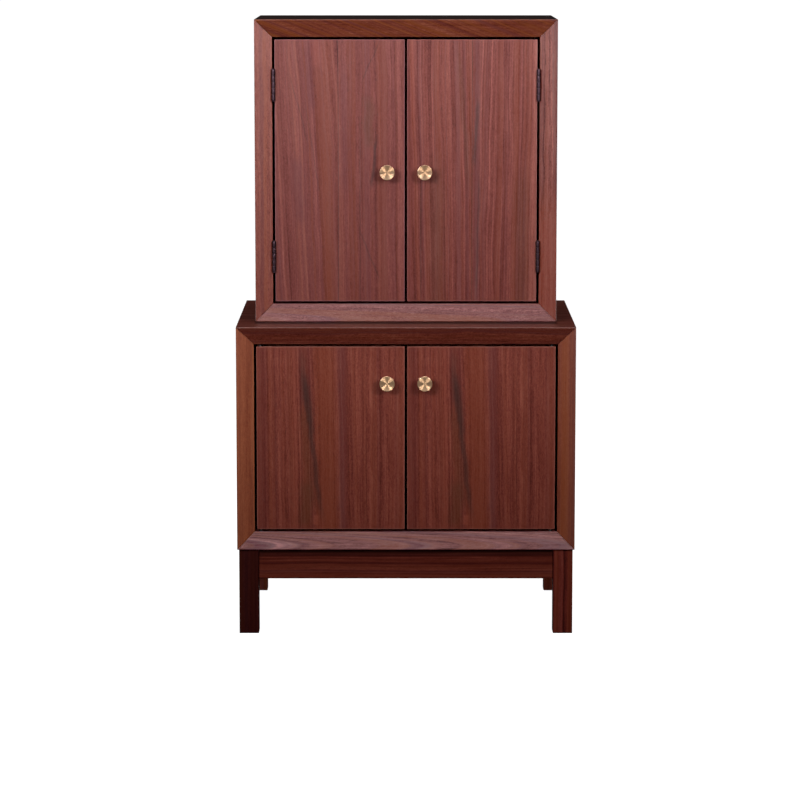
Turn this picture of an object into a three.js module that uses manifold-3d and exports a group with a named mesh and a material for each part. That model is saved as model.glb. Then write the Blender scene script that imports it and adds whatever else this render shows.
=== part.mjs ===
import * as THREE from 'three';
import { mergeVertices } from 'three/addons/utils/BufferGeometryUtils.js';
import Module from 'manifold-3d';

// A household altar cabinet in walnut: a two-door altar case standing on a two-door stand with a leg frame.
// Millimetres, +Z up, doors facing -Y, left is -X, symmetric about X = 0, floor at Z = 0.

// Altar case
const caseWidth = 447;
const caseDepth = 236;
const caseHeight = 447;
const caseSetback = 68; // from the stand's front plane back to the case's front plane
const caseRestGap = 0.3; // hairline between the stand's top and the case that rests on it

// Stand, without its legs
const standWidth = 500;
const standDepth = 360;
const standHeight = 332;

// Mitred boards of both carcasses
const boardThickness = 26;
const bevelDepth = 9.5; // how far the splayed front face falls back from the outer to the inner arris
const arrisEase = 1.2; // chamfer along the outer front arris
const jointGap = 0.3; // hairline between two pieces that are glued or screwed together
const backThickness = 6;
const backRecess = 1.5; // back panel's outer face, in from the boards' rear edges
const rebateWidth = 9; // how far the back panel laps over each board's rear edge

// Doors
const doorThickness = 18;
const doorGap = 3.5;
const doorEase = 0.6;

// Butt hinges of the altar case
const hingeLength = 46; // barrel, without the pin's tips
const hingeInset = 44; // from a door's top or bottom edge to the nearer end of the barrel
const barrelRadius = 3;
const barrelProud = 3; // barrel's axis in front of the door's face
const pinRadius = 1.1;
const pinClearance = 0.25;
const pinTipRadius = 2.2;
const pinTipHeight = 1;
const knuckleCount = 5;
const knuckleGap = 0.4;
const leafThickness = 1.2;
const leafWidth = 15;
const leafClearance = 0.15; // leaf to wood, and half the space between two closed leaves

// Concealed pivots of the stand's doors
const pivotRadius = 2.5;
const pivotInset = 6; // axis from the door's outer edge, and from its front face
const pivotReach = 8; // length let into the door, and into the board
const pivotClearance = 0.3;

// Turned knobs
const knobRadius = 11;
const knobLength = 20; // from the door's face to the knob's face
const knobRimThickness = 5;
const knobStemRadius = 4.4;
const knobFootRadius = 6.2;
const knobFootHeight = 1.8;
const knobDish = 0.7; // how far the middle of the face is turned down
const knobInset = 26; // centre from the door's meeting edge
const standKnobDrop = 53; // centre from the door's top edge
const caseKnobDrop = 195;

// Leg frame
const legHeight = 127;
const legSide = 29;
const legSideInset = 2.5;
const legFrontInset = 6;
const legBackInset = 2;
const legEase = 1;
const apronHeight = 44.5;
const apronThickness = 20;
const apronSetback = 3; // apron's outer face behind the legs' outer faces

// Facets of round pieces
const knobFacets = 32;
const barrelFacets = 20;
const pinFacets = 16;

// Levels and reaches worked out from the sizes above
const standTop = legHeight + standHeight;
const caseBase = standTop + caseRestGap;
const knobTip = bevelDepth - jointGap - knobLength;
const frontReach = Math.min(0, knobTip, caseSetback, caseSetback + knobTip);
const rearReach = Math.max(standDepth, caseSetback + caseDepth);
const footprintCentre = (frontReach + rearReach) / 2;

const walnutDoors = { color: 0x6f3a30, roughness: 0.45, metalness: 0 };
const walnutFrame = { color: 0x7a4436, roughness: 0.42, metalness: 0 };
const walnutTop = { color: 0x3a2320, roughness: 0.35, metalness: 0 };
const walnutLegs = { color: 0x35140f, roughness: 0.45, metalness: 0 };
const walnutBack = { color: 0x6a4a3a, roughness: 0.6, metalness: 0 };
const turnedBrass = { color: 0xc9a36a, roughness: 0.28, metalness: 1 };
const darkBronze = { color: 0x3b3034, roughness: 0.42, metalness: 0.8 };
const pivotSteel = { color: 0x9a9a96, roughness: 0.35, metalness: 1 };

const wasm = await Module();
wasm.setup();

const cabinet = new THREE.Group();

function addPiece(parent, name, geometry, finish, position = [0, 0, 0], turnAboutY = 0) {
  const mesh = new THREE.Mesh(geometry, new THREE.MeshStandardMaterial(finish));
  mesh.name = name;
  mesh.position.set(...position);
  mesh.rotation.y = turnAboutY;
  parent.add(mesh);
}

function toSolid(geometry) {
  const bare = geometry.clone();
  bare.deleteAttribute('normal');
  bare.deleteAttribute('uv');
  const merged = mergeVertices(bare, 1e-4);
  const vertProperties = Float32Array.from(merged.attributes.position.array);
  const triVerts = Uint32Array.from(merged.index.array);
  return new wasm.Manifold(new wasm.Mesh({ numProp: 3, vertProperties, triVerts }));
}

function toGeometry(solid) {
  const { vertProperties, triVerts } = solid.getMesh();
  const geometry = new THREE.BufferGeometry();
  geometry.setAttribute('position', new THREE.BufferAttribute(vertProperties, 3));
  geometry.setIndex(new THREE.BufferAttribute(triVerts, 1));
  geometry.computeVertexNormals();
  return geometry;
}

// A post along Z with its four long edges chamfered, centred on its own axis, standing on Z = 0.
function easedPost(sizeX, sizeY, height, ease) {
  const x = sizeX / 2;
  const y = sizeY / 2;
  const outline = new THREE.Shape([
    [-x + ease, -y], [x - ease, -y], [x, -y + ease], [x, y - ease],
    [x - ease, y], [-x + ease, y], [-x, y - ease], [-x, -y + ease],
  ].map(([px, py]) => new THREE.Vector2(px, py)));
  return new THREE.ExtrudeGeometry(outline, { depth: height, bevelEnabled: false });
}

// A slab standing on Z = 0 and centred on X, its front face at Y = 0, with chamfered front and back edges.
function easedSlab(width, height, thickness, ease) {
  const x = width / 2 - ease;
  const outline = new THREE.Shape([
    [-x, ease], [x, ease], [x, height - ease], [-x, height - ease],
  ].map(([px, pz]) => new THREE.Vector2(px, pz)));
  const geometry = new THREE.ExtrudeGeometry(outline, {
    depth: thickness - 2 * ease,
    bevelEnabled: true,
    bevelSegments: 1,
    bevelSize: ease,
    bevelThickness: ease,
  });
  geometry.translate(0, 0, ease);
  geometry.rotateX(Math.PI / 2);
  geometry.translate(0, thickness, 0);
  return geometry;
}

function rodAlongZ(radius, length, facets) {
  return new THREE.CylinderGeometry(radius, radius, length, facets).rotateX(Math.PI / 2);
}

// A carcass board lying along X, its outer face at Z = 0 and its body below. Its section is drawn in
// (y, d), with d measured in from the outer face, and each end is mitred, so it is shorter by d there.
function mitredBoard(outerLength, depth) {
  const rebateDepth = backThickness + backRecess + jointGap;
  const section = new THREE.Shape([
    [0, arrisEase], [arrisEase, 0], [depth, 0], [depth, boardThickness - rebateWidth],
    [depth - rebateDepth, boardThickness - rebateWidth], [depth - rebateDepth, boardThickness],
    [bevelDepth, boardThickness],
  ].map(([y, d]) => new THREE.Vector2(y, d)));
  const geometry = new THREE.ExtrudeGeometry(section, { depth: 1, bevelEnabled: false });
  const points = geometry.attributes.position;
  const mitreSlack = jointGap * Math.SQRT1_2;
  for (let i = 0; i < points.count; i++) {
    const y = points.getX(i);
    const d = points.getY(i);
    const end = 1 - 2 * points.getZ(i);
    points.setXYZ(i, end * (outerLength / 2 - d - mitreSlack), y, -d);
  }
  return geometry;
}

// The four mitred boards and the back panel of one carcass, standing on Z = 0 with its front at Y = 0.
function addCarcass(parent, name, width, depth, height, pivotX) {
  const lying = mitredBoard(width, depth);
  const standing = mitredBoard(height, depth);
  const pivotY = bevelDepth + pivotInset;
  const boards = [
    ['top', lying, walnutTop, [0, 0, height], 0],
    ['bottom', lying, walnutFrame, [0, 0, 0], Math.PI],
    ['left_side', standing, walnutFrame, [-width / 2, 0, height / 2], -Math.PI / 2],
    ['right_side', standing, walnutFrame, [width / 2, 0, height / 2], Math.PI / 2],
  ];
  for (const [place, blank, finish, position, turn] of boards) {
    let board = blank;
    if (pivotX && blank === lying) {
      const hole = rodAlongZ(pivotRadius + pivotClearance, 2 * pivotReach, pinFacets);
      const innerFace = -boardThickness;
      const drilled = [-pivotX, pivotX].reduce(
        (solid, x) => solid.subtract(toSolid(hole.clone().translate(x, pivotY, innerFace))),
        toSolid(blank),
      );
      board = toGeometry(drilled);
    }
    addPiece(parent, `${name}_${place}`, board, finish, position, turn);
  }
  const lap = boardThickness - rebateWidth + jointGap;
  const panel = easedSlab(width - 2 * lap, height - 2 * lap, backThickness, doorEase);
  addPiece(parent, `${name}_back`, panel, walnutBack, [0, depth - backRecess - backThickness, lap]);
}

// A knob turned about its own axis, which points to -Y, with its foot on Y = 0.
function turnedKnob() {
  const rimEase = knobRimThickness * 0.3;
  const rimBack = knobLength - knobRimThickness;
  const neck = knobFootHeight + (rimBack - knobFootHeight) * 0.55;
  const profile = [
    [0, 0],
    [knobFootRadius, 0],
    [knobFootRadius, knobFootHeight],
    [knobStemRadius, knobFootHeight + (knobFootRadius - knobStemRadius) * 0.6],
    [knobStemRadius, neck],
    [knobStemRadius + (knobRadius - knobStemRadius) * 0.35, neck + (rimBack - neck) * 0.6],
    [knobRadius - rimEase / 2, rimBack],
    [knobRadius, rimBack + rimEase / 2],
    [knobRadius, knobLength - rimEase],
    [knobRadius - rimEase * 0.3, knobLength - rimEase * 0.3],
    [knobRadius - rimEase, knobLength],
    [knobRadius * 0.5, knobLength - knobDish * 0.75],
    [0, knobLength - knobDish],
  ];
  return new THREE.LatheGeometry(profile.map(([r, h]) => new THREE.Vector2(r, h)), knobFacets)
    .rotateX(Math.PI);
}

// One leaf of a butt hinge with its own knuckles, about the barrel's axis, centred on Z.
// side is 1 for the leaf towards +X and -1 for the one towards -X; parity picks its knuckles.
function hingeLeaf(side, parity) {
  const pitch = (hingeLength + knuckleGap) / knuckleCount;
  const knuckleLength = pitch - knuckleGap;
  const plateX = side * (leafClearance + leafThickness / 2);
  const plateFront = barrelRadius + pinClearance;
  const plate = new THREE.BoxGeometry(leafThickness, leafWidth, hingeLength)
    .translate(plateX, plateFront + leafWidth / 2, 0);
  let leaf = toSolid(plate);
  const tongueLength = plateFront + 1 - pinRadius;
  for (let i = parity; i < knuckleCount; i += 2) {
    const z = (i - (knuckleCount - 1) / 2) * pitch;
    const tongue = new THREE.BoxGeometry(leafThickness, tongueLength, knuckleLength)
      .translate(plateX, pinRadius + tongueLength / 2, z);
    leaf = leaf.add(toSolid(rodAlongZ(barrelRadius, knuckleLength, barrelFacets).translate(0, 0, z)));
    leaf = leaf.add(toSolid(tongue));
  }
  const bore = rodAlongZ(pinRadius + pinClearance, 2 * hingeLength, pinFacets);
  return toGeometry(leaf.subtract(toSolid(bore)));
}

function hingePin() {
  const half = hingeLength / 2;
  const tipEase = pinTipHeight / 2;
  const tipBase = half + pinClearance;
  const profile = [
    [0, -tipBase - pinTipHeight],
    [pinTipRadius - tipEase, -tipBase - pinTipHeight],
    [pinTipRadius, -tipBase - pinTipHeight + tipEase],
    [pinTipRadius, -tipBase],
    [pinRadius, -tipBase],
    [pinRadius, tipBase],
    [pinTipRadius, tipBase],
    [pinTipRadius, tipBase + pinTipHeight - tipEase],
    [pinTipRadius - tipEase, tipBase + pinTipHeight],
    [0, tipBase + pinTipHeight],
  ];
  return new THREE.LatheGeometry(profile.map(([r, h]) => new THREE.Vector2(r, h)), pinFacets)
    .rotateX(Math.PI / 2);
}

// A door's width and height, and the X of its centre for the left door, in an opening of its carcass.
function doorIn(width, height) {
  const openingWidth = width - 2 * boardThickness;
  const doorWidth = (openingWidth - 3 * doorGap) / 2;
  return {
    width: doorWidth,
    height: height - 2 * boardThickness - 2 * doorGap,
    centreX: (doorWidth + doorGap) / 2,
    foot: boardThickness + doorGap,
  };
}

function addKnob(parent, name, sign, z) {
  const x = sign * (doorGap / 2 + knobInset);
  addPiece(parent, name, turnedKnob(), turnedBrass, [x, bevelDepth - jointGap, z]);
}

// Altar case
const caseGroup = new THREE.Group();
caseGroup.position.set(0, caseSetback - footprintCentre, caseBase);
cabinet.add(caseGroup);
addCarcass(caseGroup, 'case', caseWidth, caseDepth, caseHeight);

const caseDoor = doorIn(caseWidth, caseHeight);
const hingeX = caseWidth / 2 - boardThickness - doorGap / 2;
const hingeY = bevelDepth - barrelProud;
const hingeHeights = {
  lower: caseDoor.foot + hingeInset + hingeLength / 2,
  upper: caseDoor.foot + caseDoor.height - hingeInset - hingeLength / 2,
};
for (const [side, sign] of [['left', -1], ['right', 1]]) {
  const slab = easedSlab(caseDoor.width, caseDoor.height, doorThickness, doorEase);
  const place = [sign * caseDoor.centreX, bevelDepth, caseDoor.foot];
  addPiece(caseGroup, `case_${side}_door`, slab, walnutDoors, place);
  addKnob(caseGroup, `case_${side}_knob`, sign, caseDoor.foot + caseDoor.height - caseKnobDrop);
  for (const [level, z] of Object.entries(hingeHeights)) {
    const at = [sign * hingeX, hingeY, z];
    const hinge = `case_${side}_${level}_hinge`;
    addPiece(caseGroup, `${hinge}_frame_leaf`, hingeLeaf(sign, 0), darkBronze, at);
    addPiece(caseGroup, `${hinge}_door_leaf`, hingeLeaf(-sign, 1), darkBronze, at);
    addPiece(caseGroup, `${hinge}_pin`, hingePin(), darkBronze, at);
  }
}

// Stand
const standGroup = new THREE.Group();
standGroup.position.set(0, -footprintCentre, legHeight);
cabinet.add(standGroup);
const pivotX = standWidth / 2 - boardThickness - doorGap - pivotInset;
addCarcass(standGroup, 'stand', standWidth, standDepth, standHeight, pivotX);

const standDoor = doorIn(standWidth, standHeight);
const pivotMiddles = {
  bottom: boardThickness + doorGap / 2,
  top: standHeight - boardThickness - doorGap / 2,
};
for (const [side, sign] of [['left', -1], ['right', 1]]) {
  const slab = easedSlab(standDoor.width, standDoor.height, doorThickness, doorEase);
  let door = toSolid(slab.translate(sign * standDoor.centreX, bevelDepth, standDoor.foot));
  for (const [level, z] of Object.entries(pivotMiddles)) {
    const at = [sign * pivotX, bevelDepth + pivotInset, z];
    const holeLength = 2 * pivotReach + doorGap;
    const hole = rodAlongZ(pivotRadius + pivotClearance, holeLength, pinFacets).translate(...at);
    const pinLength = holeLength - 2 * pivotClearance;
    door = door.subtract(toSolid(hole));
    const pin = rodAlongZ(pivotRadius, pinLength, pinFacets);
    addPiece(standGroup, `stand_${side}_${level}_pivot`, pin, pivotSteel, at);
  }
  addPiece(standGroup, `stand_${side}_door`, toGeometry(door), walnutDoors);
  addKnob(standGroup, `stand_${side}_knob`, sign, standDoor.foot + standDoor.height - standKnobDrop);
}

// Leg frame
const legFrame = new THREE.Group();
legFrame.position.set(0, -footprintCentre, 0);
cabinet.add(legFrame);
const legX = standWidth / 2 - legSideInset - legSide / 2;
const legTop = legHeight - jointGap;
const legRows = { front: legFrontInset + legSide / 2, back: standDepth - legBackInset - legSide / 2 };
for (const [row, y] of Object.entries(legRows)) {
  for (const [side, sign] of [['left', -1], ['right', 1]]) {
    const leg = easedPost(legSide, legSide, legTop, legEase);
    addPiece(legFrame, `${row}_${side}_leg`, leg, walnutLegs, [sign * legX, y, 0]);
  }
}
const apronZ = legTop - apronHeight;
const apronOffset = legSide / 2 - apronSetback - apronThickness / 2;
const longApron = 2 * legX - legSide - 2 * jointGap;
const shortApron = legRows.back - legRows.front - legSide - 2 * jointGap;
const frontApronY = legRows.front - apronOffset;
const backApronY = legRows.back + apronOffset;
for (const [row, y] of [['front', frontApronY], ['back', backApronY]]) {
  const apron = easedSlab(longApron, apronHeight, apronThickness, legEase);
  addPiece(legFrame, `${row}_apron`, apron, walnutLegs, [0, y - apronThickness / 2, apronZ]);
}
for (const [side, sign] of [['left', -1], ['right', 1]]) {
  const apron = easedSlab(shortApron, apronHeight, apronThickness, legEase)
    .translate(0, -apronThickness / 2, 0)
    .rotateZ(Math.PI / 2);
  const middle = (legRows.front + legRows.back) / 2;
  addPiece(legFrame, `${side}_apron`, apron, walnutLegs, [sign * (legX + apronOffset), middle, apronZ]);
}

export default cabinet;
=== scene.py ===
import itertools
import math

import bpy
import numpy as np
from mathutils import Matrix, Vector


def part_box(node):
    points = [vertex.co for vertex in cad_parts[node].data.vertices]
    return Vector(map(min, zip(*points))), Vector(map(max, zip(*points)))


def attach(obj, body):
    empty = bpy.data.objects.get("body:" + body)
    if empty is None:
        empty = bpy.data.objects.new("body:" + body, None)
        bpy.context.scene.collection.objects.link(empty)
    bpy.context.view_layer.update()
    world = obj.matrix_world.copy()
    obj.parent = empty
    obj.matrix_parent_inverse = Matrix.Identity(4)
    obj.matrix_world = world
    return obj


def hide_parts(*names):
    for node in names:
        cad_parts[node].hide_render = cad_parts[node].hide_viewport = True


# A walnut household altar cabinet: a two-door case standing on a two-door stand with a leg frame.
# Metres, +Z up, doors facing -Y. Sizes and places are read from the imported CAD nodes.

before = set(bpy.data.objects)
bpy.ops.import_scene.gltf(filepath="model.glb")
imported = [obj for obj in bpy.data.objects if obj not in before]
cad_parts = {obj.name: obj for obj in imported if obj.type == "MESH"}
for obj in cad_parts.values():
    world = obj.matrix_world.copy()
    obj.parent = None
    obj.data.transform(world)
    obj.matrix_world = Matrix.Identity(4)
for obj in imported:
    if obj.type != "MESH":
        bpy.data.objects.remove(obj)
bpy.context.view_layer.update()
print("stage: frame loaded")

mm = 0.001
tiny = 1e-9
sharpFrom = math.radians(38)  # edges that turn more than this are drawn as creases


# Surfaces

# The lengths of an array's rows of coordinates are made one.
def unit(vectors):
    return vectors / np.linalg.norm(vectors, axis=-1, keepdims=True)


# The four corners of each cell of a grid, in order round the cell. The grid holds point numbers, or
# what stands at each point.
def gridCells(grid):
    cells = np.stack([grid[:-1, :-1], grid[:-1, 1:], grid[1:, 1:], grid[1:, :-1]], axis=2)
    return cells.reshape(-1, 4, *grid.shape[2:])


# Each row of a grid of point numbers is made a ring: its first number is repeated at its end.
def closeRows(grid):
    return np.hstack([grid, grid[:, :1]])


# The faces of a stack of rings of points, with one face over each end. Puts out the point numbers of
# all faces in one list, and how many each face has.
def cappedStack(rows, count):
    grid = np.arange(rows * count).reshape(rows, count)
    sides = gridCells(closeRows(grid))
    corners = np.concatenate([sides.ravel(), grid[0, ::-1], grid[-1]])
    return corners, np.array([4] * len(sides) + [count, count])


# One closed surface. corners is the list of the point numbers of all faces and counts says how many
# each face has. normals and uv have a row for each corner, grain has a row for each point.
# Six times the volume is the sum of a . (b x c) over the faces cut into fans of triangles a, b, c.
# Where it is negative the faces point inwards, so each is read backwards.
def shell(points, corners, counts, normals=None, grain=None, uv=None):
    starts = np.cumsum(counts) - counts
    place = np.arange(len(corners)) - np.repeat(starts, counts)
    middle = np.flatnonzero((place > 0) & (place < np.repeat(counts, counts) - 1))
    first = np.repeat(corners[starts], counts)[middle]
    across = np.cross(points[corners[middle]], points[corners[middle + 1]])
    if (points[first] * across).sum() < 0:
        backwards = np.repeat(starts + counts - 1, counts) - place
        corners = corners[backwards]
        normals = None if normals is None else normals[backwards]
        uv = None if uv is None else uv[backwards]
    return {"points": points, "corners": corners, "counts": counts,
            "normals": normals, "grain": grain, "uv": uv}


# Joins shells into one object, which rides on a body and stands for CAD nodes.
def addPiece(name, shells, body, replaces, material):
    def joined(key):
        rows = [part[key] for part in shells if part[key] is not None]
        return np.concatenate(rows) if rows else None

    sizes = np.array([len(part["points"]) for part in shells])
    shift = np.repeat(np.cumsum(sizes) - sizes, [len(part["corners"]) for part in shells])
    points, counts = joined("points"), joined("counts")
    mesh = bpy.data.meshes.new(name)
    mesh.vertices.add(len(points))
    mesh.vertices.foreach_set("co", points.astype(np.float32).ravel())
    mesh.loops.add(len(shift))
    mesh.polygons.add(len(counts))
    mesh.polygons.foreach_set("loop_start", (np.cumsum(counts) - counts).astype(np.int32))
    mesh.polygons.foreach_set("vertices", (joined("corners") + shift).astype(np.int32))
    mesh.update(calc_edges=True)
    mesh.polygons.foreach_set("use_smooth", np.ones(len(counts), bool))
    grain, uv, normals = joined("grain"), joined("uv"), joined("normals")
    if grain is not None:
        layer = mesh.attributes.new("grainAt", "FLOAT_VECTOR", "POINT")
        layer.data.foreach_set("vector", grain.astype(np.float32).ravel())
    if uv is not None:
        layer = mesh.uv_layers.new(name="turned")
        layer.data.foreach_set("uv", uv.astype(np.float32).ravel())
    if normals is not None:
        mesh.normals_split_custom_set(normals.tolist())
    else:
        mesh.set_sharp_from_angle(angle=sharpFrom)
    mesh.materials.append(material)
    mesh.validate()
    piece = bpy.data.objects.new(name, mesh)
    bpy.context.scene.collection.objects.link(piece)
    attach(piece, body)
    if replaces:
        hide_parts(*replaces)
    return piece


# A box with rounded edges. Each side is a grid that is fine along its edges. Every point is the nearest
# point of an inner box, smaller by ease on each side, plus ease along the line from there to the grid's
# point, and that line is its normal. Points that coincide along the edges are made one.
# along is the axis that the grain runs along.
def roundedBox(low, high, ease, along, origin=(0, 0, 0), steps=3):
    low, high = np.array(low, float), np.array(high, float)
    middle, half = (low + high) / 2, (high - low) / 2
    inner = half - ease
    edge = inner[:, None] + ease * np.tan(np.linspace(0, math.pi / 4, steps + 1))
    lines = np.hstack([-edge[:, ::-1], edge])
    count = lines.shape[1]
    cells = gridCells(np.arange(count * count).reshape(count, count))
    sides, faces = [], []
    for axis, sign in itertools.product(range(3), (-1, 1)):
        first, second = [k for k in range(3) if k != axis]
        side = np.zeros((count, count, 3))
        side[..., axis] = sign * half[axis]
        side[..., first] = lines[first][:, None]
        side[..., second] = lines[second]
        flip = (sign > 0) != (axis == 1)
        faces.append((cells[:, ::-1] if flip else cells) + len(sides) * count * count)
        sides.append(side.reshape(-1, 3))
    plain = np.vstack(sides)
    nearest = np.clip(plain, -inner, inner)
    outward = unit(plain - nearest)
    points = nearest + ease * outward
    _, keep, index = np.unique(np.round(points * 1e7).astype(int), axis=0,
                               return_index=True, return_inverse=True)
    corners = index.ravel()[np.vstack(faces)].ravel()
    points, outward = points[keep] + middle, outward[keep]
    order = {0: (2, 0, 1), 1: (2, 1, 0), 2: (0, 2, 1)}[along]
    grain = (points - np.array(origin))[:, order] / mm
    return shell(points, corners, np.full(len(corners) // 4, 4), outward[corners], grain)


# A closed outline whose corners (x, y, radius) are arcs that touch both sides: the arc's centre lies on
# the line that halves the corner, radius / sin(half the corner's angle) from its tip.
# Puts out the points and their outward normals.
def roundedOutline(corners, steps=4):
    corners = np.array(corners, float)
    here, radius = corners[:, :2], corners[:, 2:]
    after = np.roll(here, -1, axis=0)
    a, b = unit(np.roll(here, 1, axis=0) - here), unit(after - here)
    opening = np.arccos(np.clip((a * b).sum(axis=1), -1, 1))[:, None]
    centre = here + unit(a + b) * radius / np.sin(opening / 2)
    start, end = (here + side * radius / np.tan(opening / 2) - centre for side in (a, b))
    turn = a[:, 0] * b[:, 1] - a[:, 1] * b[:, 0]
    area = (here[:, 0] * after[:, 1] - after[:, 0] * here[:, 1]).sum()
    convex = (turn < 0) == (area > 0)
    first = np.arctan2(start[:, 1], start[:, 0])
    sweep = np.arctan2(end[:, 1], end[:, 0]) - first
    sweep = (sweep + math.pi) % (2 * math.pi) - math.pi
    angles = first[:, None] + sweep[:, None] * np.linspace(0, 1, steps + 1)
    outward = np.stack([np.cos(angles), np.sin(angles)], axis=2)
    points = centre[:, None] + radius[:, None] * outward
    normals = np.where(convex[:, None, None], outward, -outward)
    return points.reshape(-1, 2), normals.reshape(-1, 2)


# A profile of (radius, height) turned about an axis: centre + height * axis + radius * (cos(angle) *
# side + sin(angle) * other). Where the radius is nothing, the ring is one point; where the profile ends
# where it began, the last ring is the first. u is the angle, v the length along the profile.
def lathe(profile, centre, axis, facets=64):
    profile, axis = np.array(profile, float), np.array(axis, float)
    side = np.array([1.0, 0, 0]) if abs(axis[0]) < 0.5 else np.array([0, 0, 1.0])
    other = np.cross(axis, side)
    angles = 2 * math.pi * np.arange(facets) / facets
    ring = np.outer(np.cos(angles), side) + np.outer(np.sin(angles), other)
    points = centre + profile[:, 1, None, None] * axis + profile[:, 0, None, None] * ring
    rows = np.arange(len(profile) * facets).reshape(len(profile), facets)
    rows = np.where(profile[:, :1] < tiny, rows[:, :1], rows)
    if np.allclose(profile[0], profile[-1], atol=tiny):
        rows[-1] = rows[0]
    used, rows = np.unique(rows, return_inverse=True)
    faces = gridCells(closeRows(rows.reshape(len(profile), facets)))
    steps = np.linalg.norm(np.diff(profile, axis=0), axis=1)
    lengths = np.concatenate([[0], np.cumsum(steps)]) / mm
    sheet = np.stack(np.meshgrid(np.arange(facets + 1) / facets, lengths), axis=2)
    same = faces[:, :, None] == faces[:, None, :]
    kept = ~np.tril(same, -1).any(axis=2)  # a corner that its face already has is left out
    return shell(points.reshape(-1, 3)[used], faces[kept], kept.sum(axis=1), uv=gridCells(sheet)[kept])


# Node helpers

# Short names for the nodes this scene uses, in one node tree.
class Builder:

    def __init__(self, tree):
        self.tree = tree

    def add(self, kind, **settings):
        node = self.tree.nodes.new(kind)
        for key, value in settings.items():
            setattr(node, key, value)
        return node

    def feed(self, socket, value):
        if isinstance(value, bpy.types.NodeSocket):
            self.tree.links.new(value, socket)
        elif value is not None:
            socket.default_value = value

    def math(self, operation, a, b=None, c=None):
        node = self.add("ShaderNodeMath", operation=operation)
        for socket, value in zip(node.inputs, (a, b, c)):
            self.feed(socket, value)
        return node.outputs[0]

    def vector(self, operation, a, b=None):
        node = self.add("ShaderNodeVectorMath", operation=operation)
        for socket, value in zip(node.inputs, (a, b)):
            self.feed(socket, value)
        return node.outputs[0]

    def join(self, x, y, z):
        node = self.add("ShaderNodeCombineXYZ")
        for socket, value in zip(node.inputs, (x, y, z)):
            self.feed(socket, value)
        return node.outputs[0]

    def split(self, vector):
        node = self.add("ShaderNodeSeparateXYZ")
        self.feed(node.inputs[0], vector)
        return node.outputs

    def noise(self, value, detail=2.0, roughness=0.5, dimensions="3D"):
        node = self.add("ShaderNodeTexNoise", noise_dimensions=dimensions)
        self.feed(node.inputs["W" if dimensions == "1D" else "Vector"], value)
        node.inputs["Scale"].default_value = 1.0
        node.inputs["Detail"].default_value = detail
        node.inputs["Roughness"].default_value = roughness
        return node.outputs["Fac"]

    def noiseAlong(self, value, detail=2.0, roughness=0.5):
        return self.noise(value, detail, roughness, "1D")

    # A vector of millimetres scaled so that a lump one unit across is wide by long in size.
    def stretch(self, vector, wide, long):
        return self.vector("MULTIPLY", vector, (1 / wide, 1 / long, 1 / wide))

    def grain(self, vector, wide, long, detail, roughness):
        return self.noise(self.stretch(vector, wide, long), detail, roughness)

    # base + share * (value - 0.5)
    def sway(self, value, share, base):
        return self.math("MULTIPLY_ADD", self.math("SUBTRACT", value, 0.5), share, base)

    def spread(self, value, low, high, toLow=0.0, toHigh=1.0, smooth=True):
        node = self.add("ShaderNodeMapRange")
        node.interpolation_type = "SMOOTHSTEP" if smooth else "LINEAR"
        for socket, item in zip(node.inputs, (value, low, high, toLow, toHigh)):
            self.feed(socket, item)
        return node.outputs[0]

    def mix(self, factor, a, b, blend="MIX"):
        node = self.add("ShaderNodeMix", data_type="RGBA", blend_type=blend)
        self.feed(node.inputs["Factor"], factor)
        self.feed(node.inputs["A"], a)
        self.feed(node.inputs["B"], b)
        return node.outputs["Result"]

    def ramp(self, value, stops):
        node = self.add("ShaderNodeValToRGB")
        self.feed(node.inputs[0], value)
        elements = node.color_ramp.elements
        while len(elements) < len(stops):
            elements.new(0.5)
        for element, (place, colour) in zip(elements, stops):
            element.position = place
            element.color = (*colour, 1)
        return node.outputs[0]

    # Two vectors mixed. The node has a socket of each kind under every label, hence the search.
    def mixVectors(self, factor, a, b):
        node = self.add("ShaderNodeMix", data_type="VECTOR")
        self.feed(node.inputs["Factor"], factor)
        for label, value in (("A", a), ("B", b)):
            wanted = [socket for socket in node.inputs if (socket.name, socket.type) == (label, "VECTOR")]
            self.feed(wanted[0], value)
        return next(socket for socket in node.outputs if socket.type == "VECTOR")

    def group(self, tree, values):
        node = self.add("ShaderNodeGroup", node_tree=tree)
        for label, value in values.items():
            self.feed(node.inputs[label], value)
        return node.outputs

    def bump(self, height, strength, distance):
        node = self.add("ShaderNodeBump")
        node.inputs["Strength"].default_value = strength
        node.inputs["Distance"].default_value = distance
        self.feed(node.inputs["Height"], height)
        return node.outputs[0]

    def finish(self, shader, kind="Material"):
        output = self.add("ShaderNodeOutput" + kind)
        self.feed(output.inputs["Surface"], shader.outputs[0])


# A material with an empty node tree, and the builder for it.
def newMaterial(name):
    material = bpy.data.materials.new(name)
    material.use_nodes = True
    material.node_tree.nodes.clear()
    return material, Builder(material.node_tree)


# A shader node group that is given vectors and numbers and puts out numbers, by name. Returns the tree,
# its builder, and the sockets that hold what it is given and what it puts out.
def newGroup(name, vectors, numbers, outputs):
    tree = bpy.data.node_groups.new(name, "ShaderNodeTree")
    sockets = [(label, "INPUT", "NodeSocketVector") for label in vectors]
    sockets += [(label, "INPUT", "NodeSocketFloat") for label in numbers]
    sockets += [(label, "OUTPUT", "NodeSocketFloat") for label in outputs]
    for label, way, kind in sockets:
        tree.interface.new_socket(name=label, in_out=way, socket_type=kind)
    build = Builder(tree)
    return tree, build, build.add("NodeGroupInput").outputs, build.add("NodeGroupOutput").inputs


# Walnut

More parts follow.
